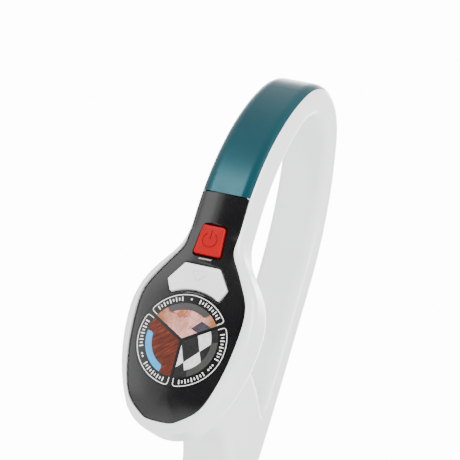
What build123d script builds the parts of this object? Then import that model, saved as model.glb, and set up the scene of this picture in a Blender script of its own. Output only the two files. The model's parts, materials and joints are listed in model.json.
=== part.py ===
from build123d import *
import math
import os

# Loop handle of an upright steam mop, in millimetres.
# +Z runs up the pole, the display faces -Y, and the origin is the centre of the spigot's lower end.

os.makedirs("parts", exist_ok=True)

# ---- driving dimensions -------------------------------------------------------------
FRONT_Y = -88.0          # front face of the panel and of the front arm
REAR_Y = 19.0            # back face of the rear arm
FRONT_DEPTH = 22.0       # thickness of the front arm
REAR_DEPTH = 14.0        # thickness of the rear arm
ARM_HALF = 12.3          # half the width of the arms
EDGE_R = 5.5             # rounding of the arms' long edges
CREST_Y = -28.0          # crest of the loop
CREST_Z = 249.5
CREST_DEPTH = 15.5       # thickness of the loop at its crest
FRONT_BEND_Z = 167.0     # height where the front arm starts to bend
REAR_BEND_Z = 169.5      # height where the rear arm starts to bend
CREST_FRONT_R = 42.0     # tighter bends either side of the crest, outside
CREST_REAR_R = 32.0
INNER_BEND_Z = 174.0     # the same bends on the inside of the loop
INNER_FRONT_R = 28.0
INNER_REAR_R = 24.0
STEM_TOP = 122.0         # top of the stem where it leaves the front arm
NECK_R = 28.0            # sweep under the stem into the neck
NECK_FRONT_Y = -15.5
NECK_END_Z = 52.0
BASE_Z = 40.0            # the neck's outline is drawn down to here, then cut at NECK_END_Z
TAPER_Z = 130.0          # the rear face leans in below this height
TAPER_R = 760.0
STEM_LOW_Z = 84.0

DIAL_Z = 112.0           # centre of the floor dial
DIAL_R = 20.8
INLAY_R = 16.2
WINDOW_IN, WINDOW_OUT = 13.35, 16.0
WINDOW_HALF_DEG = 36.0
SECTOR_ANGLES = {"stone": 90, "wood": 210, "tile": 330}

HEAD_BACK_Y = FRONT_Y + FRONT_DEPTH
PANEL_T = 2.4
PANEL_TOP = 178.0        # joint between the panel and the soft grip
GRIP_T = 2.8
CARRIER_T = 2.0
GRIP_REAR_END = 196.0
COVER_STRIP = 4.0        # depth of the rear cover's lid
WALL = 2.4
GAP = 0.15               # fitting gap between shells

BOARD_Y = FRONT_Y + 12.0 # front face of the control board
BOARD_T = 1.6
BOARD_SCREWS = [(17.0, 130.0), (-17.0, 130.0), (12.3, 88.0), (-12.3, 88.0)]
BUTTON_TRAVEL = 1.5
BUTTON_PROUD = 1.2
FLANGE_T = 1.2
SWITCH_TIP = 2.9         # height of a switch's plunger above the board
POWER_Z = 156.4
SELECT_Z = 138.5
GUIDE_Y = FRONT_Y + 7.0
GUIDE_T = 1.0

REAR_SCREW_Z = [112.0, 146.0, 176.0]
BOSS_Y = 11.5            # where frame bosses meet the rear cover's bosses
SCREW_SEAT_Y = 14.5
SPIGOT_R = 13.0
SPIGOT_STEP_R = 14.2
SPIGOT_STEP_Z = 26.0
SPIGOT_BORE_R = 10.6
SPIGOT_INNER_R = 10.2
SOCKET_DEPTH = 14.0
LATCH_Z = 36.0
LATCH_R = 4.0
LATCH_TRAVEL = 2.4
COLLAR_Z = 46.0
CONTACTS = [(-4.5, -4.5), (4.5, -4.5), (-4.5, 4.5), (1.5, 5.5)]

LOOM_R = 1.8             # wiring from the board down to the spigot's connector
LOOM_ROUTE = [(0, -66.8, 100), (0, -42, 100), (0.5, -13, 86), (6, 2, 62), (7, 3, 44), (7, 3, 27)]
LOOM_RADII = [60, 24, 26, 22]

# panel outline, half-width against height above the dial centre
PANEL_SIDE = [(11.0, 44.5), (14.6, 35.5), (19.4, 27.8), (23.3, 20.0), (24.3, 7.0), (22.4, -9.0)]
PANEL_FOOT = [(19.2, -21.0), (14.9, -29.0), (8.6, -34.0)]
PANEL_LOW = -35.8
# white rim outside the panel, as tangent arcs that leave the front arm; angles turn the outline's direction
RIM_TOP = 54.0           # the head's straight top, above the dial centre
FLARE_TOP = 52.0
FLARE_R = 24.0
FLARE_DEG = 36.5
FLARE_RUN = 8.6          # straight stretch between flare and shoulder
SHOULDER_R = 34.4
CHEEK_R = 82.0
CHEEK_DEG = 29.0


def plan_plane(y):
    """Local x is X and local y is height above the dial centre; the normal faces the user."""
    return Plane(origin=(0, y, DIAL_Z), x_dir=(1, 0, 0), z_dir=(0, -1, 0))


def plan_solid(sketch, y_front, y_back):
    """Extrudes a dial-centred front-view sketch from y_front to y_back."""
    return extrude(plan_plane(y_front) * sketch, amount=-(y_back - y_front))


def closed_outline(side, foot, low, top_half, top_z):
    """Front-view face: straight up the arm, a smooth flare round the dial, closed below."""
    run = side + foot + [(0.0, low)]
    curve = Spline(*run, tangents=[(0, -1), (-1, 0)])
    right = [Line((top_half, top_z), run[0]), curve]
    left = [mirror(edge, about=Plane.YZ) for edge in right]
    return make_face(right + left + [Line((-top_half, top_z), (top_half, top_z))])


def pushed(points, grow):
    """Moves outline points out by grow: sideways on the arm, away from the dial centre below it."""
    result = []
    for x, z in points:
        rise = 0.15 * z if z > 0 else z
        reach = math.hypot(x, rise)
        result.append((x + grow * x / reach, z + grow * rise / reach))
    return result


def panel_face(grow=0.0):
    side = pushed(PANEL_SIDE, grow)
    foot = pushed(PANEL_FOOT, grow)
    return closed_outline(side, foot, PANEL_LOW - grow, side[0][0], PANEL_TOP - DIAL_Z + grow)


def rim_face():
    """Front view of the head: the arm flares out round the dial and closes in one arc below it."""
    straight = Line((ARM_HALF, RIM_TOP), (ARM_HALF, FLARE_TOP))
    flare = JernArc(straight @ 1, (0, -1), FLARE_R, FLARE_DEG)
    slope = Line(flare @ 1, flare @ 1 + (flare % 1) * FLARE_RUN)
    shoulder = JernArc(slope @ 1, slope % 1, SHOULDER_R, -FLARE_DEG)
    cheek = JernArc(shoulder @ 1, shoulder % 1, CHEEK_R, -CHEEK_DEG)
    chin_r = (cheek @ 1).X / math.cos(math.radians(CHEEK_DEG))
    chin = JernArc(cheek @ 1, cheek % 1, chin_r, 2 * CHEEK_DEG - 180)
    right = [straight, flare, slope, shoulder, cheek]
    left = [mirror(edge, about=Plane.YZ) for edge in right]
    return make_face(right + left + [chin, Line((ARM_HALF, RIM_TOP), (-ARM_HALF, RIM_TOP))])


# ---- side view of the loop ----------------------------------------------------------
def arc(cy, cz, r, start, end):
    return CenterArc((cy, cz), r, start, end - start)


def bend(side_y, bend_z, top, r):
    """Long-arc radius and join angle for a bend from an upright side to the loop's crest."""
    a = abs(side_y - CREST_Y)
    b = top - bend_z
    big = (2 * b * r - a * a - b * b) / (2 * r - 2 * a)
    return big, math.degrees(math.atan2(b - r, big - a))


def arch(front_y, front_z, front_r, rear_y, rear_z, rear_r, top, inset):
    """Four tangent arcs from the front side over the crest to the rear side, moved in by inset."""
    front_big, front_angle = bend(front_y, front_z, top, front_r)
    rear_big, rear_angle = bend(rear_y, rear_z, top, rear_r)
    return [
        arc(front_y + front_big, front_z, front_big - inset, 180, 180 - front_angle),
        arc(CREST_Y, top - front_r, front_r - inset, 180 - front_angle, 90),
        arc(CREST_Y, top - rear_r, rear_r - inset, 90, rear_angle),
        arc(rear_y - rear_big, rear_z, rear_big - inset, rear_angle, 0),
    ]


def outer_face(inset=0.0, low_inset=0.0):
    """The loop's outer shape with its opening filled, moved in by inset."""
    front = FRONT_Y + inset
    rear = REAR_Y - inset
    low = STEM_LOW_Z + low_inset
    chin_y = FRONT_Y + FRONT_DEPTH
    chin_r = chin_y - front
    neck_y = NECK_FRONT_Y - NECK_R
    neck_front = NECK_FRONT_Y + low_inset
    taper_y = REAR_Y - TAPER_R
    drop = math.degrees(math.asin((TAPER_Z - BASE_Z) / (TAPER_R - inset)))
    taper_end = (taper_y + (TAPER_R - inset) * math.cos(math.radians(drop)), BASE_Z)
    edges = [Line((front, low + chin_r), (front, FRONT_BEND_Z))]
    edges += arch(FRONT_Y, FRONT_BEND_Z, CREST_FRONT_R, REAR_Y, REAR_BEND_Z, CREST_REAR_R, CREST_Z, inset)
    edges += [
        Line((rear, REAR_BEND_Z), (rear, TAPER_Z)),
        arc(taper_y, TAPER_Z, TAPER_R - inset, 0, -drop),
        Line(taper_end, (neck_front, BASE_Z)),
        Line((neck_front, BASE_Z), (neck_front, STEM_LOW_Z - NECK_R)),
        arc(neck_y, STEM_LOW_Z - NECK_R, NECK_R + low_inset, 0, 90),
        Line((neck_y, low), (chin_y, low)),
        arc(chin_y, low + chin_r, chin_r, 270, 180),
    ]
    return make_face(edges)


def opening_face(grow=0.0):
    """The hand opening between the arms, above the stem, moved out by grow."""
    side = REAR_Y - REAR_DEPTH
    front_y = FRONT_Y + FRONT_DEPTH
    top = CREST_Z - CREST_DEPTH
    corner = 12.0
    notch_r = 3.0
    notch_z = 108.0
    edges = [Line((front_y - grow, STEM_TOP + corner), (front_y - grow, INNER_BEND_Z))]
    edges += arch(front_y, INNER_BEND_Z, INNER_FRONT_R, side, REAR_BEND_Z, INNER_REAR_R, top, -grow)
    edges += [
        Line((side + grow, REAR_BEND_Z), (side + grow, notch_z)),
        arc(side - notch_r, notch_z, notch_r + grow, 0, -125),
    ]
    foot = edges[-1]
    start = (front_y + corner, STEM_TOP - grow)
    edges.append(Spline(foot @ 1, start, tangents=[foot % 1, (-1, 0)], tangent_scalars=[0.9, 1.1]))
    edges.append(arc(front_y + corner, STEM_TOP + corner, corner + grow, 270, 180))
    return make_face(edges)


def side_solid(face, half):
    """Extrudes a side-view face both ways across the handle's width."""
    return extrude(Plane.YZ * face, amount=half, both=True)


def slab(y0, y1, z0, z1, half=40.0):
    return Pos(0, (y0 + y1) / 2, (z0 + z1) / 2) * Box(2 * half, y1 - y0, z1 - z0)


def y_rod(x, z, r, y0, y1):
    return Pos(x, (y0 + y1) / 2, z) * Rot(90, 0, 0) * Cylinder(r, y1 - y0)


def loop_body():
    """Outer envelope of the arms, stem and neck, with rounded long edges."""
    body = side_solid(outer_face() - opening_face(), ARM_HALF)
    rims = body.faces().sort_by(Axis.X)[0].edges() + body.faces().sort_by(Axis.X)[-1].edges()
    body = fillet(rims, EDGE_R)
    return body - slab(-60, 60, 0, NECK_END_Z)


def head_body():
    """Head with the straight foot of the front arm, rounded like the arms."""
    body = plan_solid(rim_face(), FRONT_Y, HEAD_BACK_Y)
    for which in (-1, 0):
        edges = body.faces().sort_by(Axis.Y)[which].edges()
        body = fillet([e for e in edges if min((e @ 0).Z, (e @ 1).Z) < DIAL_Z + RIM_TOP - 0.01], EDGE_R)
    return body


def seam_face():
    """Side view of everything the neck cover takes: below the curved seam of the stem."""
    front = HEAD_BACK_Y + GAP
    edges = [
        Line((front, 105.0), (-37.0, 102.5)),
        ThreePointArc((-37.0, 102.5), (-15.5, 97.0), (-3.0, 82.0)),
        Line((-3.0, 82.0), (-2.0, 40.0)),
        Line((-2.0, 40.0), (front, 40.0)),
        Line((front, 40.0), (front, 105.0)),
    ]
    return make_face(edges)


def grip_zone():
    """Where the soft grip runs: above the panel in front, over the crest, down the back."""
    front = slab(-120, CREST_Y, PANEL_TOP + 2 * GAP, 300)
    rear = slab(CREST_Y, 60, GRIP_REAR_END, 300)
    return front + rear


def strip(inner, outer, half):
    """A layer of the loop between two insets from its outer surface."""
    return side_solid(outer_face(outer) - outer_face(inner), half)


def make_shells():
    loop = loop_body()
    envelope = (loop - slab(-100, HEAD_BACK_Y, 0, DIAL_Z + RIM_TOP)) + head_body()
    inside = ARM_HALF - WALL
    cavity = side_solid(outer_face(-6.0, WALL) - opening_face(WALL), inside)
    lid_zone = strip(COVER_STRIP, -6.0, 40.0) & slab(CREST_Y, 60, 0, GRIP_REAR_END - 2 * GAP)
    seam = side_solid(seam_face(), 40.0)

    panel_floor = FRONT_Y + PANEL_T
    rebate = plan_solid(panel_face(GAP), FRONT_Y - 5, panel_floor)
    tub = plan_solid(panel_face(-1.6), FRONT_Y - 5, HEAD_BACK_Y - WALL)
    grip_rebate = strip(GRIP_T + CARRIER_T + GAP, -6.0, ARM_HALF - 1.35) & grip_zone()

    frame = envelope - rebate - tub - grip_rebate - cavity - lid_zone - seam
    rib = slab(-1, 11, NECK_END_Z + 3.2, NECK_END_Z + 5.2, inside + 0.5)
    rib -= Pos(0, 3, NECK_END_Z) * Cylinder(8.5, 20)
    frame += rib
    for z in REAR_SCREW_Z:
        frame += y_rod(0, z, 3.4, REAR_Y - REAR_DEPTH + 1, BOSS_Y)
        frame -= y_rod(0, z, 1.5, REAR_Y - REAR_DEPTH + 1.4, BOSS_Y + 1)

    lid_zone_fit = strip(COVER_STRIP - GAP, -6.0, 40.0) & slab(CREST_Y, 60, 0, GRIP_REAR_END - 2 * GAP)
    lid = loop & lid_zone_fit
    lid -= side_solid(outer_face(WALL), inside)
    for z in REAR_SCREW_Z:
        lid += y_rod(0, z, 4.6, BOSS_Y, REAR_Y - 1.0)
        lid -= y_rod(0, z, 3.4, SCREW_SEAT_Y, REAR_Y + 1)
        lid -= y_rod(0, z, 1.7, BOSS_Y - 1, SCREW_SEAT_Y + 1)

    seam_fit = side_solid(seam_face(), 40.0) & slab(HEAD_BACK_Y + 2 * GAP, 10, BASE_Z, 120)
    neck = (loop & seam_fit) - side_solid(outer_face(WALL, WALL), inside)

    grip_zone_fit = grip_zone()
    grip = loop & strip(GRIP_T, -6.0, ARM_HALF - 1.5) & grip_zone_fit
    carrier = strip(GRIP_T + CARRIER_T, GRIP_T, ARM_HALF - 1.7) & grip_zone_fit
    return frame, lid, neck, grip, carrier


# ---- buttons ------------------------------------------------------------------------
def power_face(grow=0.0):
    face = Polygon((-6.8, -7.0), (6.8, -7.0), (5.6, 7.2), (-5.6, 7.2), align=None)
    face = fillet(face.vertices(), 1.6)
    return Pos(0, POWER_Z - DIAL_Z) * (offset(face, amount=grow) if grow else face)


def select_face(grow=0.0):
    outline = Polygon((-10.4, -8.0), (10.4, -8.0), (14.0, -1.8), (8.2, 7.0), (-8.2, 7.0), (-14.0, -1.8), align=None)
    outline = Pos(0, SELECT_Z - DIAL_Z) * outline
    outline -= Circle(DIAL_R + 1.6)
    outline = fillet(outline.vertices(), 1.2)
    return offset(outline, amount=grow) if grow else outline


def button(face_of, z):
    cap = plan_solid(face_of(), FRONT_Y - BUTTON_PROUD, FRONT_Y + PANEL_T + 0.2)
    cap = fillet(cap.faces().sort_by(Axis.Y)[0].edges(), 0.7)
    flange_front = FRONT_Y + PANEL_T + 0.15
    cap += plan_solid(face_of(0.9), flange_front, flange_front + FLANGE_T)
    stem_end = BOARD_Y - SWITCH_TIP - BUTTON_TRAVEL - 0.1
    return cap + y_rod(0, z, 1.6, flange_front, stem_end)


def coil_spring(x, z, y0, y1, radius, wire, turns):
    """Round-wire return spring standing along Y."""
    height = y1 - y0 - 2 * wire
    path = Helix(pitch=height / turns, height=height, radius=radius)
    section = Plane(origin=path @ 0, z_dir=path % 0) * Circle(wire)
    coil = sweep(section, path=path, is_frenet=True)
    return Pos(x, y0 + wire, z) * Rot(-90, 0, 0) * coil


def tact_switch(z):
    body = Pos(0, BOARD_Y - 1.2, z) * Box(6.0, 2.4, 6.0)
    body = fillet(body.edges().filter_by(Axis.Y), 0.5)
    return body + y_rod(0, z, 1.6, BOARD_Y - SWITCH_TIP, BOARD_Y - 2.0)


# ---- dial ---------------------------------------------------------------------------
def wedge(r_in, r_out, half_deg, centre_deg):
    """Annular sector, front view."""
    start = centre_deg - half_deg
    ring = Circle(r_out) - Circle(r_in)
    reach = 2 * r_out
    a0 = math.radians(start)
    a1 = math.radians(start + 2 * half_deg)
    mid = math.radians(centre_deg)
    corner0 = (reach * math.cos(a0), reach * math.sin(a0))
    far = (reach * math.cos(mid) * 1.5, reach * math.sin(mid) * 1.5)
    corner1 = (reach * math.cos(a1), reach * math.sin(a1))
    return ring & Polygon((0, 0), corner0, far, corner1, align=None)


def inlay_face(centre_deg, shrink=0.0):
    """Sector of floor sample with straight spoke gaps either side."""
    sector = wedge(1.2, INLAY_R, 60.0, centre_deg)
    for side in (-60, 60):
        spoke = Rot(0, 0, centre_deg + side) * Pos(INLAY_R / 2, 0) * Rectangle(INLAY_R + 4, 1.4)
        sector -= spoke
    return offset(sector, amount=-shrink) if shrink else sector


def window_face(centre_deg, grow=0.0):
    return wedge(WINDOW_IN - grow, WINDOW_OUT + grow, WINDOW_HALF_DEG + grow * 4, centre_deg)


def make_dial():
    pieces = {}
    plate = plan_solid(Circle(DIAL_R - GAP), FRONT_Y, FRONT_Y + 1.8)
    for name, angle in SECTOR_ANGLES.items():
        plate -= plan_solid(inlay_face(angle), FRONT_Y - 1, FRONT_Y + 0.8)
        plate -= plan_solid(window_face(angle, 0.1), FRONT_Y - 1, FRONT_Y + 3)
        inlay = plan_solid(inlay_face(angle, 0.05), FRONT_Y, FRONT_Y + 0.8)
        pieces[name + "_inlay"] = inlay - plan_solid(window_face(angle, 0.1), FRONT_Y - 1, FRONT_Y + 3)
        pieces[name + "_light_guide"] = plan_solid(window_face(angle), FRONT_Y, BOARD_Y - 3.6)
    pieces["dial_plate"] = plate
    shield = plan_solid(Circle(DIAL_R + 0.3) - Circle(DIAL_R - 0.6), FRONT_Y + PANEL_T, BOARD_Y)
    for spoke in (30, 150, 270):
        wall = Rot(0, 0, spoke) * Pos(DIAL_R / 2 - 0.4, 0) * Rectangle(DIAL_R, 1.2)
        shield += plan_solid(wall, FRONT_Y + 1.8, BOARD_Y - 0.1)
    pieces["light_shield"] = shield
    return pieces


# ---- electronics --------------------------------------------------------------------
def control_board():
    board = plan_solid(panel_face(-3.0), BOARD_Y, BOARD_Y + BOARD_T)
    board -= slab(-100, 0, 168.0, 200.0)
    for x, z in BOARD_SCREWS:
        board -= y_rod(x, z, 1.4, BOARD_Y - 1, BOARD_Y + 3)
    return board


def polar(radius, degrees):
    return radius * math.cos(math.radians(degrees)), radius * math.sin(math.radians(degrees))


def board_leds():
    group = []
    for angle in SECTOR_ANGLES.values():
        x, z = polar((WINDOW_IN + WINDOW_OUT) / 2, angle)
        led = Pos(x, BOARD_Y - 0.9, DIAL_Z + z) * Box(3.2, 1.8, 2.8)
        group.append(fillet(led.edges().filter_by(Axis.Y), 0.4))
    return Compound(children=group)


def board_components():
    """Controller chip, regulator and capacitors on the back of the board."""
    back = BOARD_Y + BOARD_T
    chip = Pos(0, back + 0.8, 124.0) * Box(9.0, 1.6, 9.0)
    regulator = Pos(-11.0, back + 1.1, 108.0) * Box(6.5, 2.2, 6.0)
    cans = [y_rod(x, 110.0, 2.5, back, back + 4.6) for x in (8.0, 14.5)]
    return Compound(children=[chip, regulator] + cans)


def board_header():
    back = BOARD_Y + BOARD_T
    shroud = Pos(0, back + 2.0, 100.0) * Box(12.0, 4.0, 6.0)
    return shroud - Pos(0, back + 3.0, 100.0) * Box(10.4, 4.0, 4.4)


def board_plug():
    back = BOARD_Y + BOARD_T
    body = Pos(0, back + 4.4, 100.0) * Box(10.0, 6.4, 4.0)
    return fillet(body.edges().filter_by(Axis.Y), 0.5)


def wiring_loom():
    path = FilletPolyline(*LOOM_ROUTE, radius=LOOM_RADII)
    section = Plane(origin=path @ 0, z_dir=path % 0) * Circle(LOOM_R)
    loom = sweep(section, path=path)
    print("loom length", round(path.length, 1), "volume ratio",
          round(loom.volume / (path.length * math.pi * LOOM_R ** 2), 4))
    return loom


def screw(head_r, head_h, shank_r, length):
    """Pan-head screw, head up +Z, with a cross recess; the head's seat is at z = 0."""
    head = Pos(0, 0, head_h / 2) * Cylinder(head_r, head_h)
    head = fillet(head.edges().sort_by(Axis.Z)[-1], head_h * 0.4)
    body = head + Pos(0, 0, -length / 2) * Cylinder(shank_r, length)
    slot = Box(head_r * 1.1, 0.7, 1.0) + Box(0.7, head_r * 1.1, 1.0)
    return body - Pos(0, 0, head_h) * slot


def board_screws():
    group = []
    for x, z in BOARD_SCREWS:
        piece = screw(2.3, 1.6, 1.1, 7.0)
        group.append(Pos(x, BOARD_Y + BOARD_T, z) * Rot(-90, 0, 0) * piece)
    return Compound(children=group)


def rear_screws():
    group = []
    for z in REAR_SCREW_Z:
        piece = screw(3.0, 2.2, 1.45, 7.4)
        group.append(Pos(0, SCREW_SEAT_Y, z) * Rot(-90, 0, 0) * piece)
    return Compound(children=group)


def control_panel():
    back = FRONT_Y + PANEL_T
    panel = plan_solid(panel_face(), FRONT_Y, back)
    panel = fillet(panel.faces().sort_by(Axis.Y)[0].edges(), 0.8)
    panel -= plan_solid(Circle(DIAL_R), FRONT_Y - 1, back + 1)
    panel -= plan_solid(power_face(0.35), FRONT_Y - 1, back + 1)
    panel -= plan_solid(select_face(0.35), FRONT_Y - 1, back + 1)
    for x, z in BOARD_SCREWS:
        post = y_rod(x, z, 2.4, back - 0.2, BOARD_Y) - y_rod(x, z, 1.15, BOARD_Y - 8, BOARD_Y + 1)
        panel += post
    return panel


def button_guide():
    """Plate behind the panel that steers both button stems and seats their springs."""
    plate = Pos(0, (SELECT_Z + POWER_Z) / 2 - DIAL_Z + 0.5) * RectangleRounded(13.0, 27.0, 3.0)
    guide = plan_solid(plate, GUIDE_Y, GUIDE_Y + GUIDE_T)
    for z in (SELECT_Z + 1.5, POWER_Z):
        guide -= y_rod(0, z, 1.75, GUIDE_Y - 1, GUIDE_Y + 2)
    for x in (-5.2, 5.2):
        for z in (146.4, 147.4):
            guide += y_rod(x, z, 1.2, GUIDE_Y + 0.5, BOARD_Y)
    return guide


# ---- spigot -------------------------------------------------------------------------
def tube_z(r_out, r_in, z0, z1):
    mid = Pos(0, 0, (z0 + z1) / 2)
    return mid * Cylinder(r_out, z1 - z0) - mid * Cylinder(r_in, z1 - z0 + 2)


def spigot():
    body = Cylinder(SPIGOT_R, SPIGOT_STEP_Z, align=(Align.CENTER, Align.CENTER, Align.MIN))
    body += Pos(0, 0, SPIGOT_STEP_Z + 0.6) * Cone(SPIGOT_R, SPIGOT_STEP_R, 1.2)
    upper = NECK_END_Z - SPIGOT_STEP_Z - 1.2
    body += Pos(0, 0, SPIGOT_STEP_Z + 1.2 + upper / 2) * Cylinder(SPIGOT_STEP_R, upper)
    flange = Box(2 * (ARM_HALF - WALL) - 0.6, 22.0, 3.0)
    flange = fillet(flange.edges().filter_by(Axis.Z), 3.0)
    body += Pos(0, 0, NECK_END_Z + 1.5) * flange
    body -= Pos(0, 0, SOCKET_DEPTH / 2 - 0.5) * Cylinder(SPIGOT_BORE_R, SOCKET_DEPTH + 1)
    body -= Pos(0, 0, 36) * Cylinder(SPIGOT_INNER_R, 44)
    body -= Pos(0, 0, 56) * Cylinder(8.0, 10)
    return body - y_rod(0, LATCH_Z, LATCH_R + 0.25, -20, -5)


def neck_collar():
    ring = Pos(0, 0, (COLLAR_Z + NECK_END_Z) / 2) * extrude(
        RectangleRounded(32.0, 34.0, 12.0), amount=(NECK_END_Z - COLLAR_Z) / 2, both=True)
    ring = fillet(ring.faces().sort_by(Axis.Z)[0].edges(), 2.0)
    return ring - Pos(0, 0, 49) * Cylinder(SPIGOT_STEP_R + 0.1, 12)


def latch_button():
    pin = y_rod(0, LATCH_Z, LATCH_R, -SPIGOT_STEP_R - LATCH_TRAVEL, -8.0)
    pin = fillet(pin.faces().sort_by(Axis.Y)[0].edges(), 1.4)
    return pin + y_rod(0, LATCH_Z, LATCH_R + 1.0, -8.5, -7.5)


def latch_spring():
    """Folded leaf that pushes the latch button out against the far wall."""
    outer = make_face(Polyline((-7.5, 40), (-7.5, 32), (-6.6, 32), (-6.6, 39), (8.4, 39), (8.4, 32),
                               (9.2, 32), (9.2, 40), (-7.5, 40)))
    return side_solid(outer, 2.6)


def spigot_connector():
    block = Pos(0, 0, 20.5) * Cylinder(SPIGOT_INNER_R - 0.05, 13.0)
    for x, y in CONTACTS:
        block -= Pos(x, y, 20) * Cylinder(1.0, 20)
    return block


def contact_sockets():
    group = [Pos(x, y, 0) * tube_z(0.95, 0.5, 14.6, 26.4) for x, y in CONTACTS]
    return Compound(children=group)


# ---- build and write ----------------------------------------------------------------
def main():
    frame, lid, neck, grip, carrier = make_shells()
    flange_back = FRONT_Y + PANEL_T + 0.15 + FLANGE_T
    parts = {
        "loop_frame": frame,
        "rear_cover": lid,
        "neck_cover": neck,
        "soft_grip": grip,
        "grip_carrier": carrier,
        "control_panel": control_panel(),
        "power_button": button(power_face, POWER_Z),
        "select_button": button(select_face, SELECT_Z + 1.5),
        "power_spring": coil_spring(0, POWER_Z, flange_back, GUIDE_Y, 2.5, 0.22, 3),
        "select_spring": coil_spring(0, SELECT_Z + 1.5, flange_back, GUIDE_Y, 2.5, 0.22, 3),
        "power_switch": tact_switch(POWER_Z),
        "select_switch": tact_switch(SELECT_Z + 1.5),
        "button_guide": button_guide(),
        "control_board": control_board(),
        "board_leds": board_leds(),
        "board_components": board_components(),
        "board_header": board_header(),
        "board_plug": board_plug(),
        "board_screws": board_screws(),
        "wiring_loom": wiring_loom(),
        "spigot": spigot(),
        "neck_collar": neck_collar(),
        "spigot_connector": spigot_connector(),
        "contact_sockets": contact_sockets(),
        "latch_button": latch_button(),
        "latch_spring": latch_spring(),
        "rear_screws": rear_screws(),
    }
    parts.update(make_dial())
    for name, shape in parts.items():
        export_step(shape, f"parts/{name}.step")
        print(name, round(shape.volume), shape.is_valid)


main()
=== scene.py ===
import json
import math
import bmesh
import bpy
from mathutils import Matrix, Vector
from mathutils.bvhtree import BVHTree


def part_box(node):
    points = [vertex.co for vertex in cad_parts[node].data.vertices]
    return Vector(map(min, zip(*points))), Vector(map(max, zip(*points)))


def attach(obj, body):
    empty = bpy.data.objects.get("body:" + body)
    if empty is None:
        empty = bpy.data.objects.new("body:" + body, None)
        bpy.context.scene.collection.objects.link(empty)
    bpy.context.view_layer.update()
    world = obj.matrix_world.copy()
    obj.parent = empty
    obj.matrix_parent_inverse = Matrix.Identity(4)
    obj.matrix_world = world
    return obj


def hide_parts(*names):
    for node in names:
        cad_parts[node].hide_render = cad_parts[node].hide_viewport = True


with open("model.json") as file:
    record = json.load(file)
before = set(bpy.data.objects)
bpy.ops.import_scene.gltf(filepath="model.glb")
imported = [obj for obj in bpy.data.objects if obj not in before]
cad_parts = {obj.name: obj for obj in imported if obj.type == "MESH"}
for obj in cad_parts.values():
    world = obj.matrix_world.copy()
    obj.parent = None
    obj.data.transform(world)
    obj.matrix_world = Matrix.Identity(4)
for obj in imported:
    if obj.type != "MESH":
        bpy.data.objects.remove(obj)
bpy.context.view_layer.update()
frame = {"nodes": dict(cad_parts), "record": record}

# Steam-mop loop handle. Metres, in the CAD frame: +Z up the pole, the display faces -Y.
MM = 0.001
PLATE_LOW, PLATE_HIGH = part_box("dial_plate")
FRONT = PLATE_LOW.y / MM                                # front face, in millimetres
DIAL_Z = (PLATE_LOW.z + PLATE_HIGH.z) / 2 / MM
PANEL_LOW, PANEL_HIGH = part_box("control_panel")
PANEL_FOOT = PANEL_LOW.z / MM
PANEL_TOP = PANEL_HIGH.z / MM
PANEL_T = 2.4            # thickness of the control panel
PANEL_BACK = FRONT + PANEL_T


# ---- mesh helpers: millimetres in, metres out -----------------------------------------
def mesh_object(name, verts, faces):
    mesh = bpy.data.meshes.new(name)
    mesh.from_pydata([Vector(v) * MM for v in verts], [], faces)
    bm = bmesh.new()
    bm.from_mesh(mesh)
    bmesh.ops.remove_doubles(bm, verts=bm.verts, dist=0.002 * MM)
    bmesh.ops.dissolve_degenerate(bm, edges=bm.edges, dist=0.001 * MM)
    bmesh.ops.recalc_face_normals(bm, faces=bm.faces)
    bm.to_mesh(mesh)
    bm.free()
    piece = bpy.data.objects.new(name, mesh)
    bpy.context.scene.collection.objects.link(piece)
    shade(piece)
    return piece


def shade(piece, degrees=35):
    """Smooth faces, with edges sharper than the given angle kept crisp."""
    mesh = piece.data
    mesh.shade_smooth()
    mesh.set_sharp_from_angle(angle=math.radians(degrees))


def polar(radius, degrees):
    return radius * math.cos(math.radians(degrees)), radius * math.sin(math.radians(degrees))


def arc_points(radius, start, end, steps):
    return [polar(radius, start + (end - start) * i / steps) for i in range(steps + 1)]


def rounded(corners, steps=6):
    """Closed outline from (x, z, radius) corners; a radius of 0 keeps the corner."""
    points = []
    count = len(corners)
    for i, (x, z, radius) in enumerate(corners):
        here = Vector((x, z))
        if radius == 0:
            points.append(here)
            continue
        to_last = (Vector(corners[i - 1][:2]) - here).normalized()
        to_next = (Vector(corners[(i + 1) % count][:2]) - here).normalized()
        half = to_last.angle(to_next) / 2
        centre = here + (to_last + to_next).normalized() * (radius / math.sin(half))
        start = here + to_last * (radius / math.tan(half)) - centre
        end = here + to_next * (radius / math.tan(half)) - centre
        for k in range(steps + 1):
            spoke = start.slerp(end, k / steps)
            points.append(centre + spoke)
    return points


def shifted(outline, distance):
    """Outline moved inwards by distance; negative moves it out. Points run anticlockwise."""
    moved = []
    count = len(outline)
    for i, point in enumerate(outline):
        last = (Vector(point) - Vector(outline[i - 1])).normalized()
        following = (Vector(outline[(i + 1) % count]) - Vector(point)).normalized()
        tangent = (last + following).normalized()
        normal = Vector((-tangent.y, tangent.x))
        stretch = max(normal.dot(Vector((-last.y, last.x))), 0.5)
        moved.append(Vector(point) + normal * (distance / stretch))
    return moved


def place(point, y):
    """A front-view point, in height above the dial centre, at depth y."""
    return (point[0], y, DIAL_Z + point[1])


def skin(name, rings, cap_start=True, cap_end=True):
    """Joins rings of equal length with quads; a cap is a fan to the ring's middle."""
    verts = [v for ring in rings for v in ring]
    count = len(rings[0])
    faces = []
    for j in range(len(rings) - 1):
        for i in range(count):
            k = (i + 1) % count
            faces.append((j * count + i, j * count + k, (j + 1) * count + k, (j + 1) * count + i))
    for wanted, start in ((cap_start, 0), (cap_end, (len(rings) - 1) * count)):
        if wanted:
            middle = sum((Vector(v) for v in verts[start:start + count]), Vector()) / count
            verts.append(tuple(middle))
            faces += [(start + i, start + (i + 1) % count, len(verts) - 1) for i in range(count)]
    return mesh_object(name, verts, faces)


def prism(name, outline, y_front, y_back):
    return skin(name, [[place(p, y) for p in outline] for y in (y_front, y_back)])


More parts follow.
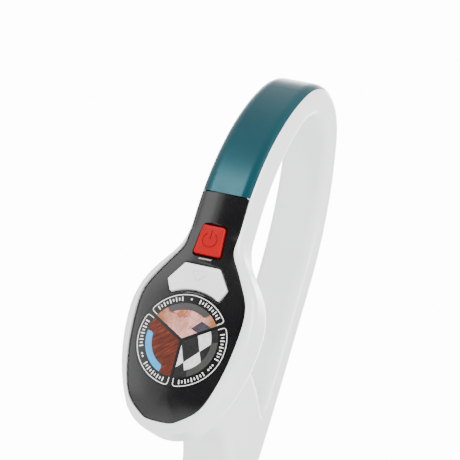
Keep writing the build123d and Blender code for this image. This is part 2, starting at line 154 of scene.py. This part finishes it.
def join(pieces):
    """Adds the later pieces' meshes to the first and removes them."""
    bm = bmesh.new()
    for piece in pieces:
        bm.from_mesh(piece.data)
    bm.to_mesh(pieces[0].data)
    bm.free()
    for piece in pieces[1:]:
        bpy.data.objects.remove(piece)
    return pieces[0]


def carve(piece, cutters, operation="DIFFERENCE"):
    """Cuts the cutters out of the piece, or keeps what lies in them, and applies the result."""
    for cutter in cutters:
        cut = piece.modifiers.new("cut", "BOOLEAN")
        cut.operation = operation
        cut.solver = "EXACT"
        cut.object = cutter
        graph = bpy.context.evaluated_depsgraph_get()
        mesh = bpy.data.meshes.new_from_object(piece.evaluated_get(graph))
        piece.modifiers.clear()
        piece.data = mesh
        bpy.data.objects.remove(cutter)
    shade(piece)
    return piece


def finish_piece(piece, body, slot, *replaced):
    """Puts a made piece on its body, in its record slot and material."""
    piece.data.materials.clear()
    piece.data.materials.append(MATERIALS[slot])
    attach(piece, body)
    if replaced:
        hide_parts(*replaced)
    return piece


# ---- materials ------------------------------------------------------------------------
class Surface:
    """A Principled material with a short way to add procedural nodes."""

    def __init__(self, name, **constants):
        self.material = bpy.data.materials.new(name)
        self.material.use_nodes = True
        self.tree = self.material.node_tree
        self.shader = self.tree.nodes["Principled BSDF"]
        for socket, value in constants.items():
            self.shader.inputs[socket.replace("_", " ")].default_value = value
        self.where = self.node("ShaderNodeTexCoord").outputs["Object"]

    def node(self, kind, **inputs):
        made = self.tree.nodes.new(kind)
        for socket, value in inputs.items():
            self.feed(made.inputs[socket.replace("_", " ")], value)
        return made

    def feed(self, socket, value):
        if isinstance(value, bpy.types.NodeSocket):
            self.tree.links.new(value, socket)
        else:
            socket.default_value = value

    def set(self, socket, value):
        self.feed(self.shader.inputs[socket], value)

    def noise(self, scale, detail=3.0, vector=None, distortion=0.0):
        made = self.node("ShaderNodeTexNoise", Scale=scale, Detail=detail, Distortion=distortion)
        self.tree.links.new(vector or self.where, made.inputs["Vector"])
        return made.outputs["Fac"]

    def ramp(self, factor, stops):
        made = self.node("ShaderNodeValToRGB")
        self.tree.links.new(factor, made.inputs["Fac"])
        while len(made.color_ramp.elements) < len(stops):
            made.color_ramp.elements.new(0.5)
        for element, (position, colour) in zip(made.color_ramp.elements, stops):
            element.position = position
            element.color = (*colour, 1)
        return made.outputs["Color"]

    def spread(self, factor, low, high):
        made = self.node("ShaderNodeMapRange")
        made.inputs["To Min"].default_value = low
        made.inputs["To Max"].default_value = high
        self.tree.links.new(factor, made.inputs["Value"])
        return made.outputs["Result"]

    def math(self, operation, a, b=0.0, c=0.0):
        made = self.node("ShaderNodeMath")
        made.operation = operation
        for socket, value in zip(made.inputs, (a, b, c)):
            self.feed(socket, value)
        return made.outputs["Value"]

    def mix(self, factor, a, b):
        made = self.node("ShaderNodeMix")
        made.data_type = "RGBA"
        self.feed(made.inputs["Factor"], factor)
        for socket, value in ((made.inputs[6], a), (made.inputs[7], b)):
            self.feed(socket, (*value, 1) if isinstance(value, tuple) else value)
        return made.outputs[2]

    def bump(self, height, strength, distance):
        made = self.node("ShaderNodeBump", Strength=strength, Distance=distance, Height=height)
        self.set("Normal", made.outputs["Normal"])


def moulded(name, dark, light, gloss, grain_scale, grain, **constants):
    """Injection-moulded plastic: faint colour drift, uneven gloss and a fine surface grain."""
    made = Surface(name, **constants)
    made.set("Base Color", made.ramp(made.noise(45, 4), [(0.3, dark), (0.7, light)]))
    made.set("Roughness", made.spread(made.noise(160, 3), *gloss))
    made.bump(made.noise(grain_scale, 4), grain, 0.0002)
    return made.material


def metal(name, dark, light, gloss):
    made = Surface(name, Metallic=1.0)
    stretched = made.node("ShaderNodeMapping")
    stretched.inputs["Scale"].default_value = (1.0, 14.0, 1.0)
    made.tree.links.new(made.where, stretched.inputs["Vector"])
    streaks = made.noise(900, 3, stretched.outputs["Vector"])
    made.set("Base Color", made.ramp(streaks, [(0.3, dark), (0.7, light)]))
    made.set("Roughness", made.spread(streaks, *gloss))
    made.bump(streaks, 0.06, 0.0001)
    return made.material


def front_axes(made):
    """Separate X and height above the dial centre, in millimetres."""
    parts = made.node("ShaderNodeSeparateXYZ", Vector=made.where)
    x = made.math("MULTIPLY", parts.outputs["X"], 1 / MM)
    z = made.math("MULTIPLY_ADD", parts.outputs["Z"], 1 / MM, -DIAL_Z)
    return x, z


def turned(made, x, z, degrees):
    """The front-view axes turned by an angle."""
    c, s = polar(1, degrees)
    u = made.math("ADD", made.math("MULTIPLY", x, c), made.math("MULTIPLY", z, s))
    v = made.math("ADD", made.math("MULTIPLY", x, -s), made.math("MULTIPLY", z, c))
    return u, v


SLATE_DEG, SLATE_AT, SLATE_HALF = 69.5, 8.9, 2.55   # band of the slate lozenge: direction, distance, half-width
SLATE_END_DEG, SLATE_END = 46, 2.0                  # direction and distance of its slanted end


def stone_print():
    """Pink marble with rust veins and one dark slate lozenge."""
    made = Surface("stone_print", Specular_IOR_Level=0.2, Roughness=0.35)
    cloud = made.ramp(made.noise(160, 5, distortion=0.6), [(0.3, (0.40, 0.15, 0.12)), (0.62, (0.66, 0.33, 0.28))])
    fleck = made.ramp(made.noise(900, 6), [(0.42, (0.55, 0.26, 0.18)), (0.56, (1, 1, 1))])
    speckled = made.node("ShaderNodeMix")
    speckled.data_type = "RGBA"
    speckled.blend_type = "MULTIPLY"
    speckled.inputs["Factor"].default_value = 0.25
    made.tree.links.new(cloud, speckled.inputs[6])
    made.tree.links.new(fleck, speckled.inputs[7])
    veins = made.noise(75, 4, distortion=1.8)
    thin = made.math("ABSOLUTE", made.math("SUBTRACT", veins, 0.5))
    vein_mask = made.spread(made.math("LESS_THAN", thin, 0.014), 0.0, 0.8)
    x, z = front_axes(made)
    outward = made.math("MULTIPLY_ADD", made.math("ABSOLUTE", x), 0.16, -0.95)
    warm = made.mix(made.math("MULTIPLY", outward, made.spread(made.noise(200, 3), 0.5, 1.6)),
                    speckled.outputs[2], (0.30, 0.120, 0.050))
    veined = made.mix(vein_mask, warm, (0.27, 0.080, 0.020))
    beside = made.math("LESS_THAN", turned(made, x, z, SLATE_END_DEG)[1], SLATE_END)
    rise = turned(made, x, z, SLATE_DEG)[0]
    band = made.math("LESS_THAN", made.math("ABSOLUTE", made.math("SUBTRACT", rise, SLATE_AT)), SLATE_HALF)
    inside = made.math("MULTIPLY", beside, band)
    slate = made.ramp(made.noise(420, 4), [(0.3, (0.020, 0.019, 0.026)), (0.7, (0.055, 0.050, 0.066))])
    made.set("Base Color", made.mix(inside, veined, slate))
    return made.material


def wood_print():
    """Reddish-brown plank with grain running along its sector."""
    made = Surface("wood_print", Specular_IOR_Level=0.2, Roughness=0.35)
    turn = made.node("ShaderNodeMapping")
    turn.inputs["Rotation"].default_value = (0.0, math.radians(-50), 0.0)
    made.tree.links.new(made.where, turn.inputs["Vector"])
    squeeze = made.node("ShaderNodeMapping", Vector=turn.outputs["Vector"])
    squeeze.inputs["Scale"].default_value = (1.0, 1.0, 0.12)
    grain = made.noise(1500, 6, squeeze.outputs["Vector"], 0.4)
    broad = made.noise(420, 3, squeeze.outputs["Vector"], 0.8)
    base = made.ramp(grain, [(0.30, (0.018, 0.002, 0.001)), (0.52, (0.075, 0.011, 0.004)),
                             (0.72, (0.17, 0.034, 0.012))])
    made.set("Base Color", made.mix(made.spread(broad, 0.0, 0.55), base, (0.10, 0.018, 0.007)))
    return made.material


TILE, TILE_LONG = 7.5, 9.6              # spacing of the printed tiles' joints, in millimetres
STEEP_DEG, SHALLOW_DEG = 22.7, 136.6    # directions across the two sets of joints
JOINT_AT = 8.91                         # distance of a shallow joint from the dial centre


def tile_print():
    """Black and white chequer of slanted tiles."""
    made = Surface("tile_print", Specular_IOR_Level=0.2, Roughness=0.35)
    x, z = front_axes(made)
    steep = turned(made, x, z, STEEP_DEG)[0]
    shallow = turned(made, x, z, SHALLOW_DEG)[0]
    cell_u = made.math("FLOOR", made.math("MULTIPLY", steep, 1 / TILE))
    cell_v = made.math("FLOOR", made.math("MULTIPLY_ADD", shallow, 1 / TILE_LONG, JOINT_AT / TILE_LONG))
    odd = made.math("FLOORED_MODULO", made.math("ADD", cell_u, cell_v), 2.0)
    pale = made.ramp(made.noise(700, 5), [(0.3, (0.56, 0.56, 0.56)), (0.7, (0.76, 0.76, 0.76))])
    dark = made.ramp(made.noise(700, 5), [(0.3, (0.008, 0.008, 0.008)), (0.7, (0.016, 0.016, 0.016))])
    reach = made.math("ADD", made.math("MULTIPLY", x, x), made.math("MULTIPLY", z, z))
    inside = made.math("LESS_THAN", reach, (WINDOW_IN - 0.1) ** 2)
    made.set("Base Color", made.mix(made.math("MULTIPLY", odd, inside), dark, pale))
    return made.material


def lit_guide():
    made = Surface("light_guide_lit", Roughness=0.3, Specular_IOR_Level=0.2, Emission_Strength=0.4)
    glow = made.ramp(made.noise(90, 2), [(0.3, (0.006, 0.24, 0.52)), (0.7, (0.012, 0.29, 0.60))])
    made.set("Base Color", glow)
    made.set("Emission Color", glow)
    return made.material


def make_materials():
    return {
        "white_shell": moulded("white_shell", (0.79, 0.80, 0.81), (0.82, 0.83, 0.84), (0.20, 0.28), 700, 0.02,
                               Specular_IOR_Level=0.5, Coat_Weight=0.3, Coat_Roughness=0.12),
        "black_panel": moulded("black_panel", (0.0035, 0.0035, 0.004), (0.006, 0.006, 0.0065), (0.16, 0.22), 500,
                               0.015, Specular_IOR_Level=0.45),
        "teal_grip": moulded("teal_grip", (0.0005, 0.022, 0.030), (0.001, 0.029, 0.038), (0.30, 0.36), 2600, 0.12,
                             Specular_IOR_Level=0.4, Specular_Tint=(0.35, 0.85, 1.0, 1)),
        "grey_moulding": moulded("grey_moulding", (0.10, 0.105, 0.11), (0.14, 0.145, 0.15), (0.42, 0.55), 1500, 0.15),
        "power_red": moulded("power_red", (0.30, 0.0003, 0.002), (0.35, 0.0008, 0.003), (0.34, 0.42), 900, 0.04,
                              Specular_IOR_Level=0.1),
        "button_white": moulded("button_white", (0.80, 0.80, 0.80), (0.85, 0.85, 0.85), (0.30, 0.38), 900, 0.04),
        "stone_print": stone_print(),
        "wood_print": wood_print(),
        "tile_print": tile_print(),
        "light_guide_unlit": moulded("light_guide_unlit", (0.030, 0.030, 0.029), (0.042, 0.042, 0.040), (0.25, 0.35),
                                     600, 0.03),
        "light_guide_lit": lit_guide(),
        "circuit_board": moulded("circuit_board", (0.01, 0.10, 0.04), (0.02, 0.16, 0.07), (0.30, 0.45), 1200, 0.1),
        "component_black": moulded("component_black", (0.012, 0.012, 0.013), (0.03, 0.03, 0.032), (0.50, 0.62),
                                   2200, 0.15),
        "connector_white": moulded("connector_white", (0.66, 0.63, 0.52), (0.74, 0.71, 0.61), (0.45, 0.55),
                                   1400, 0.08),
        "led_lens": moulded("led_lens", (0.70, 0.74, 0.62), (0.80, 0.84, 0.74), (0.12, 0.2), 900, 0.03),
        "spring_steel": metal("spring_steel", (0.42, 0.42, 0.44), (0.60, 0.60, 0.62), (0.25, 0.38)),
        "screw_steel": metal("screw_steel", (0.48, 0.48, 0.50), (0.68, 0.68, 0.70), (0.20, 0.35)),
        "cable_jacket": moulded("cable_jacket", (0.012, 0.012, 0.012), (0.03, 0.03, 0.03), (0.45, 0.6), 1800, 0.12),
        "contact_brass": metal("contact_brass", (0.60, 0.38, 0.12), (0.80, 0.56, 0.22), (0.20, 0.34)),
    }


def dress_cad_nodes():
    """Every carried-over CAD node gets the procedural material of its record slot."""
    for part in frame["record"]["subparts"]:
        node = frame["nodes"][part["node"]]
        for slot in node.material_slots:
            slot.material = MATERIALS[part["material_slot"]]


# ---- control panel --------------------------------------------------------------------
RIM_R = 5.5              # rounding of the white shell's long edges
PANEL_EDGE = 0.8         # rounding of the panel's own edge
HEAD_SINK = 1.3          # how far the crown falls away at the sides of the head
BEVEL = 1.0              # width of the bevel round each button
POWER_CORNERS = [(-6.8, -7.0, 1.6), (6.8, -7.0, 1.6), (5.6, 7.2, 1.6), (-5.6, 7.2, 1.6)]
SELECT_HEIGHT = 26.5
SELECT_ARC_R = 22.4
SELECT_ARC_DEG = 60.6


def power_outline():
    low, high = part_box("power_button")
    middle = (low.z + high.z) / 2 / MM - DIAL_Z - 0.1
    return [Vector((x, z + middle)) for x, z in rounded(POWER_CORNERS)]


def select_outline():
    arc = [(x, z, 0.0) for x, z in arc_points(SELECT_ARC_R, 180 - SELECT_ARC_DEG, SELECT_ARC_DEG, 22)]
    foot_left = (*arc[0][:2], 0.9)
    foot_right = (*arc[-1][:2], 0.9)
    shoulder = SELECT_HEIGHT - 1.8
    crown = SELECT_HEIGHT + 7.0
    corners = [foot_right, (14.0, shoulder, 1.2), (8.2, crown, 1.4), (-8.2, crown, 1.4), (-14.0, shoulder, 1.2),
               foot_left] + arc[1:-1]
    return rounded(corners)


def half_widths(node, y, low, high, rows):
    """Half-width of a CAD node at a depth, from its foot up, closer together near the foot."""
    bm = bmesh.new()
    bm.from_mesh(frame["nodes"][node].data)
    tree = BVHTree.FromBMesh(bm)
    bm.free()
    found = []
    for i in range(rows + 1):
        share = i / rows
        z = low + (high - low) * (0.12 * share + 0.88 * share * share)
        hit = tree.ray_cast(Vector((0.08, y * MM, (z + 0.03) * MM)), Vector((-1, 0, 0)))[0]
        found.append((z, hit.x / MM if hit else 0.0))
    return found


def panel_blank():
    """Crowned panel before its openings are cut: it meets the shell's rounded edge all round."""
    depth = FRONT + 1.8
    right = half_widths("control_panel", depth, PANEL_FOOT, PANEL_TOP - 0.1, 110)
    shell = half_widths("loop_frame", FRONT + 8, PANEL_FOOT, PANEL_TOP - 0.1, 110)
    right[0] = (right[0][0], 0.0)
    outline = [Vector((w, z - DIAL_Z)) for z, w in right]
    rows = []
    spine_end = PANEL_FOOT - DIAL_Z + 14
    for i, point in enumerate(outline):
        before, after = outline[max(i - 1, 0)], outline[min(i + 1, len(outline) - 1)]
        along = (after - before).normalized() if i else Vector((1, 0))
        inward = Vector((-along.y, along.x))
        inset = min(max(shell[i][1] - point.x, 0.3), 4.4)
        sink = RIM_R - math.sqrt(RIM_R ** 2 - (RIM_R - inset) ** 2)
        sink = max(sink, HEAD_SINK)
        row = [(point, PANEL_BACK), (point, FRONT + sink + PANEL_EDGE)]
        for step in range(1, 5):
            turn = math.radians(22.5 * step)
            row.append((point + inward * PANEL_EDGE * (1 - math.cos(turn)),
                        FRONT + sink + PANEL_EDGE * (1 - math.sin(turn))))
        rim = row[-1][0]
        spine = Vector((0, max(point.y, spine_end)))
        for step in range(1, 13):
            share = step / 12
            row.append((rim.lerp(spine, share), FRONT + sink * (1 - share) ** 2))
        back = [(rim.lerp(spine, step / 4), PANEL_BACK) for step in (1, 2, 3)]
        left_row = [(Vector((-p.x, p.y)), y) for p, y in row[-2::-1] + back]
        rows.append(row + left_row + [(spine, PANEL_BACK)] + back[::-1])
    verts = [(p.x, y, DIAL_Z + p.y) for row in rows for p, y in row]
    columns = len(rows[0])
    faces = []
    for i in range(len(rows) - 1):
        for j in range(columns):
            k = (j + 1) % columns
            faces.append((i * columns + j, i * columns + k, (i + 1) * columns + k, (i + 1) * columns + j))
    faces.append(tuple((len(rows) - 1) * columns + j for j in range(columns)))
    return mesh_object("panel_blank", verts, faces)


def groove_cutter(name, outline):
    """Opening for a button with a bevel towards the front."""
    clear = shifted(outline, -0.35)
    wide = shifted(outline, -0.35 - BEVEL)
    rings = [[place(p, FRONT - 1.0) for p in shifted(outline, -1.0 - 2 * BEVEL)],
             [place(p, FRONT + 0.05) for p in wide],
             [place(p, FRONT + 0.9) for p in clear],
             [place(p, PANEL_BACK + 1) for p in clear]]
    return skin(name, rings)


def copy_of(piece, name):
    made = bpy.data.objects.new(name, piece.data.copy())
    bpy.context.scene.collection.objects.link(made)
    return made


def through(name, outline):
    """Prism of an outline that passes right through the panel."""
    return prism(name, outline, FRONT - 1, PANEL_BACK + 1)


def make_panel(blank):
    panel = copy_of(blank, "panel_skin")
    hole = through("dial_hole", circle(DIAL_R))
    grooves = [groove_cutter("power_groove", power_outline()), groove_cutter("select_groove", select_outline())]
    carve(panel, [hole] + grooves)
    finish_piece(panel, "handle", "black_panel", "control_panel")


# ---- dial -----------------------------------------------------------------------------
DIAL_R = 20.8
SECTOR_R = 16.2
SPOKE_HALF = 0.7
WINDOW_IN = 13.35
WINDOW_HALF_DEG = 37
SECTORS = {"stone": 92, "wood": 212, "tile": 332}


def circle(radius, steps=96):
    return arc_points(radius, 0, 360 - 360 / steps, steps - 1)


def sector_outline(centre):
    reach = 60 - math.degrees(math.asin(SPOKE_HALF / SECTOR_R))
    apex = polar(SPOKE_HALF / math.sin(math.radians(60)), centre)
    return [apex] + arc_points(SECTOR_R, centre - reach, centre + reach, 46)


def window_outline(centre, grow=0.0):
    """Band beside the sector's rim, with rounded inner corners."""
    half = WINDOW_HALF_DEG + grow * 4
    inner_r = WINDOW_IN - grow
    outer_r = SECTOR_R + 0.02
    inner = [(x, z, 0.0) for x, z in arc_points(inner_r, centre + half, centre - half, 30)]
    inner[0] = (*inner[0][:2], 1.2)
    inner[-1] = (*inner[-1][:2], 1.2)
    outer = [(x, z, 0.0) for x, z in arc_points(outer_r, centre - half, centre + half, 30)]
    return rounded(inner[1:-1] + [inner[-1]] + outer + [inner[0]])


def make_dial(blank):
    """Plate, floor samples and light windows, all cut from the panel's crowned surface."""
    plate = carve(copy_of(blank, "dial_face"), [through("disc", circle(DIAL_R - 0.12))], "INTERSECT")
    carve(plate, [through("sector", sector_outline(centre)) for centre in SECTORS.values()])
    finish_piece(plate, "handle", "black_panel", "dial_plate")
    for name, centre in SECTORS.items():
        sample = carve(copy_of(blank, name + "_sample"), [through("sector", sector_outline(centre))], "INTERSECT")
        carve(sample, [through("window", window_outline(centre, 0.05))])
        finish_piece(sample, "handle", name + "_print", name + "_inlay")
        window = carve(copy_of(blank, name + "_window"), [through("window", window_outline(centre))], "INTERSECT")
        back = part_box(name + "_light_guide")[1].y / MM
        window = join([window, prism("guide", window_outline(centre), PANEL_BACK, back)])
        shade(window)
        slot = "light_guide_lit" if name == "wood" else "light_guide_unlit"
        finish_piece(window, "handle", slot, name + "_light_guide")


# ---- buttons --------------------------------------------------------------------------
CAP_PROUD = 1.2
CAP_EDGE = 0.55
CAP_CROWN = 0.18


def button_cap(name, outline):
    """Rounded cap: straight sides, a quarter-round edge and a faintly crowned face."""
    top = FRONT - CAP_PROUD + CAP_CROWN
    rings = [[place(p, PANEL_BACK + 0.2) for p in outline], [place(p, top + CAP_EDGE) for p in outline]]
    for step in range(1, 6):
        turn = math.radians(18 * step)
        edge = shifted(outline, CAP_EDGE * (1 - math.cos(turn)))
        rings.append([place(p, top + CAP_EDGE * (1 - math.sin(turn))) for p in edge])
    rim = shifted(outline, CAP_EDGE)
    middle = sum(rim, Vector((0, 0))) / len(rim)
    for share in (0.12, 0.3, 0.5, 0.7, 0.9):
        rings.append([place(p.lerp(middle, share), top - CAP_CROWN * (1 - (1 - share) ** 2)) for p in rim])
    return skin(name, rings)


def button_back(outline, stem_z, stem_end):
    """Flange that keeps the cap in, and the stem that reaches the switch."""
    front = PANEL_BACK + 0.15
    flange = prism("flange", shifted(outline, -0.9), front, front + 1.2)
    stem = prism("stem", [(x, z + stem_z - DIAL_Z) for x, z in arc_points(1.6, 0, 345, 23)], front + 1.0, stem_end)
    return [flange, stem]


def line_ring(name, outline, width, y_front, y_back):
    """Closed line of a given width along an outline, as a thin raised or cutting strip."""
    outer, inner = outline, shifted(outline, width)
    rings = [[place(p, y_back) for p in outer], [place(p, y_front) for p in outer],
             [place(p, y_front) for p in inner], [place(p, y_back) for p in inner],
             [place(p, y_back) for p in outer]]
    return skin(name, rings, False, False)


def strip_prism(name, outline, y_front, y_back):
    """Prism of an arc-shaped strip whose outline runs out along one side and back along the other."""
    half = len(outline) // 2
    verts, faces = [], []
    for y in (y_front, y_back):
        verts += [place(p, y) for p in outline]
    count = len(outline)
    for i in range(count):
        k = (i + 1) % count
        faces.append((i, k, count + k, count + i))
    for i in range(half - 1):
        a, b, c, d = i, i + 1, count - 2 - i, count - 1 - i
        faces.append((a, b, c, d))
        faces.append((count + a, count + b, count + c, count + d))
    return mesh_object(name, verts, faces)


def make_power_button():
    outline = power_outline()
    cap = button_cap("power_cap", outline)
    middle = sum(outline, Vector((0, 0))) / len(outline)
    face = FRONT - CAP_PROUD
    ring_out = arc_points(3.5, 125, 415, 40) + arc_points(2.9, 415, 125, 40)
    ring = [Vector(p) + middle for p in ring_out]
    bar = [Vector(p) + middle for p in ((-0.32, 0.4), (0.32, 0.4), (0.32, 4.3), (-0.32, 4.3))]
    above, below = face - 0.5, face + 0.32
    carve(cap, [strip_prism("icon_ring", ring, above, below), prism("icon_bar", bar, above, below)])
    stem_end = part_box("power_button")[1].y / MM
    cap = join([cap] + button_back(outline, middle.y + DIAL_Z, stem_end))
    shade(cap)
    finish_piece(cap, "power_button", "power_red", "power_button")


def make_select_button():
    outline = select_outline()
    cap = button_cap("select_cap", outline)
    face = FRONT - CAP_PROUD
    arrow = rounded([(-3.5, 30.2, 0.5), (-0.2, 26.2, 0.5), (3.5, 30.2, 0.5)], 4)
    carve(cap, [line_ring("arrow", arrow, 0.55, face - 0.5, face + 0.42)])
    stem_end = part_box("select_button")[1].y / MM
    stem_z = SELECT_HEIGHT + DIAL_Z + 1.5
    cap = join([cap] + button_back(outline, stem_z, stem_end))
    shade(cap)
    finish_piece(cap, "select_button", "button_white", "select_button")


# ---- dial print -----------------------------------------------------------------------
FRAME_OUT = 19.9
FRAME_IN = 16.5
FRAME_HALF_DEG = 56.5
LINE = 0.34
PRINT_T = 0.03


def open_line(name, path, width):
    """Flat printed line along an open path."""
    left, right = [], []
    for i, point in enumerate(path):
        before, after = Vector(path[max(i - 1, 0)]), Vector(path[min(i + 1, len(path) - 1)])
        along = (after - before).normalized()
        normal = Vector((-along.y, along.x)) * width / 2
        left.append(Vector(point) + normal)
        right.append(Vector(point) - normal)
    return strip_prism(name, left + right[::-1], -PRINT_T, 0.01)


def bracket_path(centre):
    """Outer arc of a label frame with rounded corners and ends that turn in to the sample."""
    corner = 1.1
    lean = math.degrees(corner / (FRAME_OUT - corner))
    path = [polar(FRAME_IN, centre - FRAME_HALF_DEG), polar(FRAME_OUT - corner - 0.6, centre - FRAME_HALF_DEG)]
    for side in (-1, 1):
        hub = polar(FRAME_OUT - corner, centre + side * (FRAME_HALF_DEG - lean))
        heading = centre + side * FRAME_HALF_DEG
        turns = [90 * k / 6 for k in range(7)]
        for turn in (turns if side < 0 else turns[::-1]):
            x, z = polar(corner, heading + side * (90 - turn))
            path.append((hub[0] + x, hub[1] + z))
        if side < 0:
            path += arc_points(FRAME_OUT, centre - FRAME_HALF_DEG + lean + 1, centre + FRAME_HALF_DEG - lean - 1, 48)
    path.append(polar(FRAME_OUT - corner - 0.6, centre + FRAME_HALF_DEG))
    path.append(polar(FRAME_IN, centre + FRAME_HALF_DEG))
    return path


def tick_marks(centre, count):
    """Generic scale marks in place of lettering: one to three dots between rows of radial bars."""
    marks = []
    radius = (FRAME_OUT + FRAME_IN) / 2 - 0.1
    for i in range(count):
        x, z = polar(radius, centre + (i - (count - 1) / 2) * 4.2)
        dot = [(x + a, z + b) for a, b in arc_points(0.42, 0, 330, 11)]
        marks.append(prism("dot", dot, -PRINT_T, 0.01))
    for side in (-1, 1):
        for i in range(9):
            angle = centre + side * (13 + 4.4 * i)
            half = 0.95 if i % 2 == 0 else 0.6
            inner, outer = Vector(polar(radius - half, angle)), Vector(polar(radius + half, angle))
            marks.append(open_line("bar", [inner, (inner + outer) / 2, outer], 0.5))
    return marks


def lay_on(piece, blank):
    """Moves a flat print's points back on to the crowned surface behind them."""
    bm = bmesh.new()
    bm.from_mesh(blank.data)
    tree = BVHTree.FromBMesh(bm)
    bm.free()
    for vertex in piece.data.vertices:
        start = Vector((vertex.co.x, (FRONT - 5) * MM, vertex.co.z))
        hit = tree.ray_cast(start, Vector((0, 1, 0)))[0]
        vertex.co.y += hit.y


def make_dial_print(blank):
    marks = []
    for count, centre in enumerate(SECTORS.values(), 1):
        marks.append(open_line("frame_line", bracket_path(centre), LINE))
        marks += tick_marks(centre, count)
    marks[0].name = "dial_print"
    printed = join(marks)
    lay_on(printed, blank)
    shade(printed)
    finish_piece(printed, "handle", "button_white")


# ---- stage ----------------------------------------------------------------------------
WORLD_LEVEL, WALL_LEVEL = 1.5, 14.0
WALL_TOWARDS = (-0.361, 0.909, 0.207)
LEFT_POWER, RIGHT_POWER, GRIP_POWER = 2.6, 26, 7


def make_floor():
    bpy.ops.mesh.primitive_plane_add(size=60, location=(0, 0, -0.16))
    floor = bpy.context.object
    floor.name = "studio_floor"
    paper = Surface("studio_paper", Roughness=0.9)
    paper.set("Base Color", paper.ramp(paper.noise(3, 3), [(0.3, (0.90, 0.90, 0.90)), (0.7, (0.93, 0.93, 0.93))]))
    floor.data.materials.append(paper.material)


def area_light(name, where, target, size, power):
    data = bpy.data.lights.new(name, "AREA")
    data.shape = "RECTANGLE"
    data.size, data.size_y = size
    data.energy = power
    lamp = bpy.data.objects.new(name, data)
    bpy.context.scene.collection.objects.link(lamp)
    lamp.location = where
    lamp.rotation_mode = "QUATERNION"
    lamp.rotation_quaternion = (Vector(target) - Vector(where)).to_track_quat("-Z", "Y")


def make_flag():
    """Black card in front of the handle: it shows in gloss only, and keeps the panel dark."""
    half_w, half_h = 0.52, 0.28
    azimuth, distance, rise = math.radians(8), 0.9, 0.19
    middle = Vector((distance * math.sin(azimuth), -distance * math.cos(azimuth) + FRONT * MM, DIAL_Z * MM + rise))
    across = Vector((math.cos(azimuth), math.sin(azimuth), 0)) * half_w
    up = Vector((0, 0, half_h))
    mesh = bpy.data.meshes.new("flag")
    mesh.from_pydata([middle - across - up, middle + across - up, middle + across + up, middle - across + up], [],
                     [(0, 1, 2, 3)])
    card = bpy.data.objects.new("flag", mesh)
    bpy.context.scene.collection.objects.link(card)
    card.visible_camera = False
    card.visible_diffuse = False
    card.visible_shadow = False
    cloth = Surface("black_felt", Roughness=0.95)
    black = [(0.3, (0.001, 0.001, 0.001)), (0.7, (0.003, 0.003, 0.003))]
    cloth.set("Base Color", cloth.ramp(cloth.noise(300), black))
    mesh.materials.append(cloth.material)


def make_lights():
    """Pale surroundings with a bright wall behind the handle."""
    world = bpy.data.worlds.new("studio")
    world.use_nodes = True
    tree = world.node_tree
    sky = tree.nodes["Background"]
    sky.inputs["Color"].default_value = (1.0, 1.0, 1.0, 1)
    around = tree.nodes.new("ShaderNodeTexCoord")
    facing = tree.nodes.new("ShaderNodeVectorMath")
    facing.operation = "DOT_PRODUCT"
    facing.inputs[1].default_value = WALL_TOWARDS
    level = tree.nodes.new("ShaderNodeMapRange")
    level.interpolation_type = "SMOOTHSTEP"
    for socket, value in (("From Min", 0.80), ("From Max", 0.97), ("To Min", WORLD_LEVEL), ("To Max", WALL_LEVEL)):
        level.inputs[socket].default_value = value
    tree.links.new(around.outputs["Generated"], facing.inputs[0])
    tree.links.new(facing.outputs["Value"], level.inputs["Value"])
    tree.links.new(level.outputs["Result"], sky.inputs["Strength"])
    bpy.context.scene.world = world
    middle = (0, -0.04, 0.14)
    area_light("left_softbox", (-0.86, -0.92, 0.42), middle, (0.55, 0.7), LEFT_POWER)
    area_light("right_softbox", (1.3, -0.15, 0.7), middle, (0.5, 1.0), RIGHT_POWER)
    grip_foot = (0, FRONT * MM, PANEL_TOP * MM + 0.01)
    area_light("grip_softbox", (-0.44, -1.04, 0.77), grip_foot, (0.32, 0.26), GRIP_POWER)


# ---- camera ---------------------------------------------------------------------------
CAMERA_AZIMUTH, CAMERA_ELEVATION, CAMERA_ROLL = 21.654, -11.946, 16.525     # degrees
CAMERA_FROM_DIAL = (389.8, -964.1, -168.6)                                  # millimetres
CAMERA_LENS = 195.65


def make_camera():
    data = bpy.data.cameras.new("camera")
    data.sensor_width = 36
    data.lens = CAMERA_LENS
    data.clip_start, data.clip_end = 0.01, 50
    camera = bpy.data.objects.new("camera", data)
    bpy.context.scene.collection.objects.link(camera)
    azimuth, elevation, roll = (math.radians(a) for a in (CAMERA_AZIMUTH, CAMERA_ELEVATION, CAMERA_ROLL))
    back = Vector((math.sin(azimuth) * math.cos(elevation), -math.cos(azimuth) * math.cos(elevation),
                   math.sin(elevation)))
    level_right = Vector((0, 0, 1)).cross(back).normalized()
    level_up = back.cross(level_right)
    right = math.cos(roll) * level_right + math.sin(roll) * level_up
    up = -math.sin(roll) * level_right + math.cos(roll) * level_up
    dial = Vector((0, FRONT, DIAL_Z))
    where = (dial + Vector(CAMERA_FROM_DIAL)) * MM
    turn = Matrix((right, up, back)).transposed().to_4x4()
    camera.matrix_world = Matrix.Translation(where) @ turn
    bpy.context.scene.camera = camera


MATERIALS = make_materials()
make_camera()
make_floor()
make_lights()
dress_cad_nodes()
make_flag()
crowned = panel_blank()
make_panel(crowned)
make_dial(crowned)
make_power_button()
make_select_button()
make_dial_print(crowned)
bpy.data.objects.remove(crowned)
